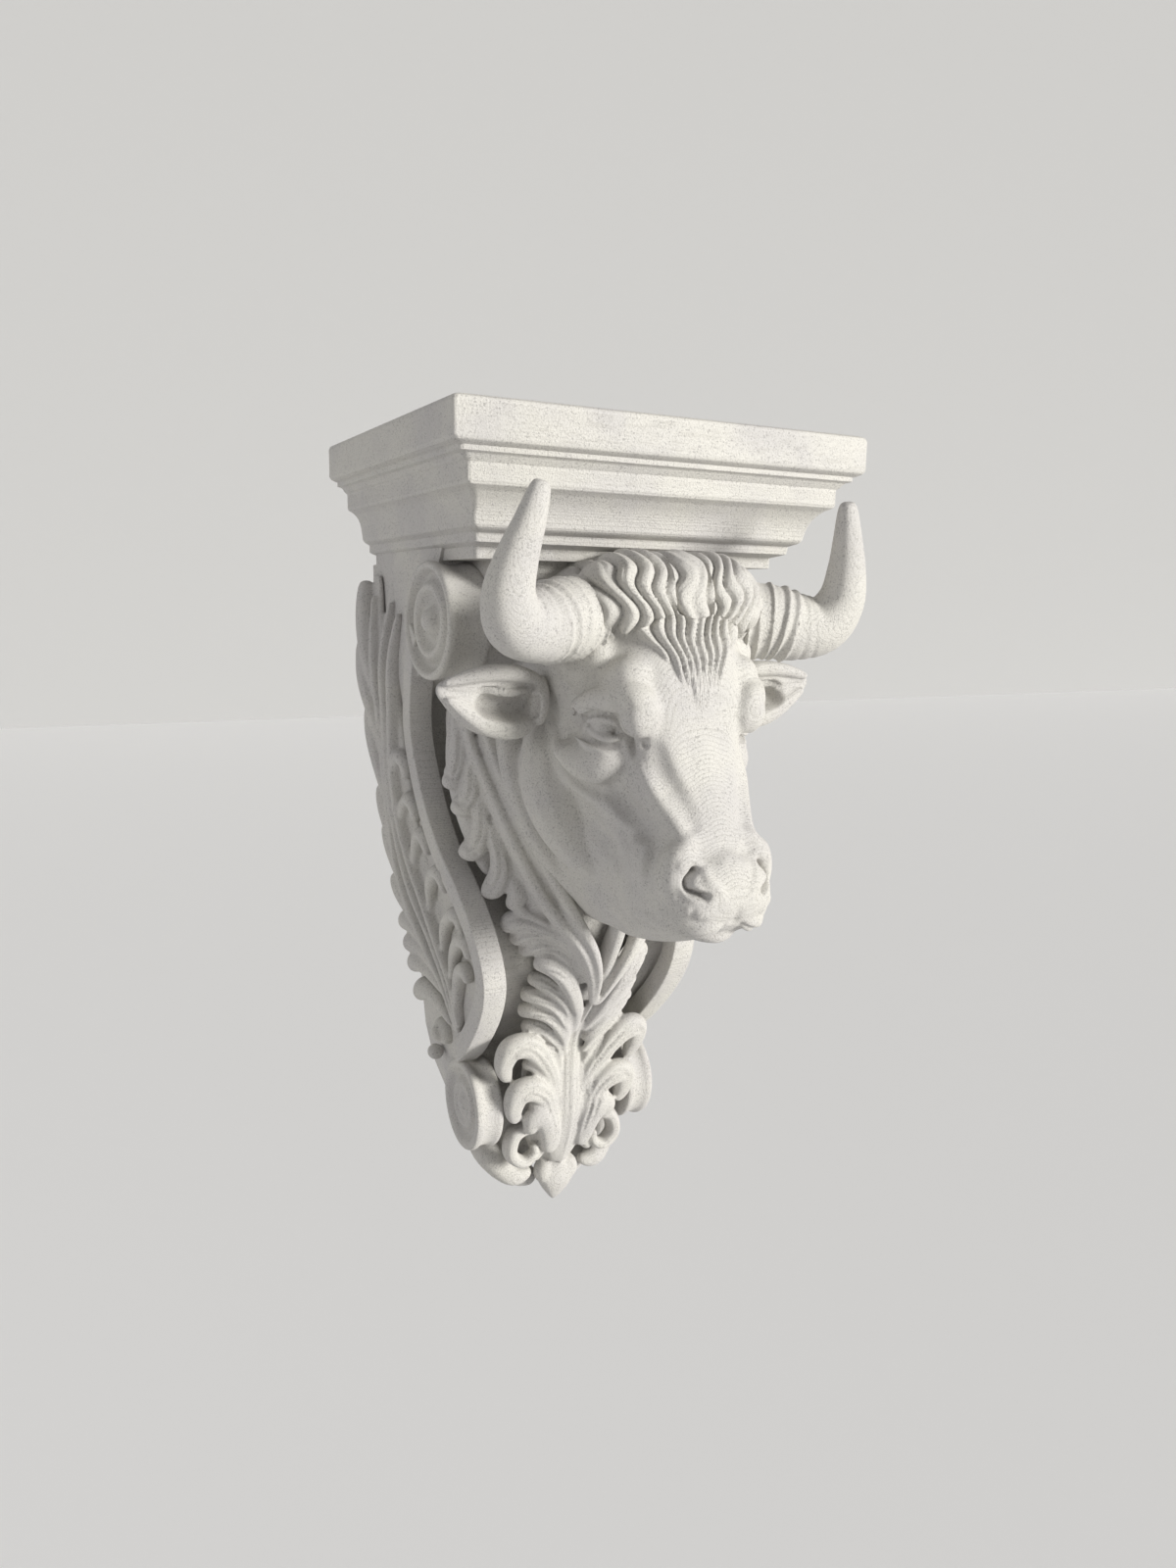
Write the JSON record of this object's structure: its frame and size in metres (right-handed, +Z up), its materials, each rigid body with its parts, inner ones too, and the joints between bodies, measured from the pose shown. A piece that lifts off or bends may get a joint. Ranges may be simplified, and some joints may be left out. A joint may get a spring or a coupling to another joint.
{
  "type": "corbel",
  "caption": "Small one-piece ornamental corbel: a moulded square cap on a scrolled console with acanthus leaves and a horned bull's head; flat back for the wall.",
  "frame": {"origin": "on the flat back that goes against the wall, on the middle plane, half way up the piece", "axes": "+X to the viewer's right when the bull's face is looked at, +Y into the wall, +Z up"},
  "size_m": [0.075, 0.0844, 0.1513],
  "materials": {
    "marble_plastic": "matte off-white with fine dark specks and print lines"
  },
  "bodies": {
    "root": {"bull_corbel": "marble_plastic"}
  },
  "joints": []
}
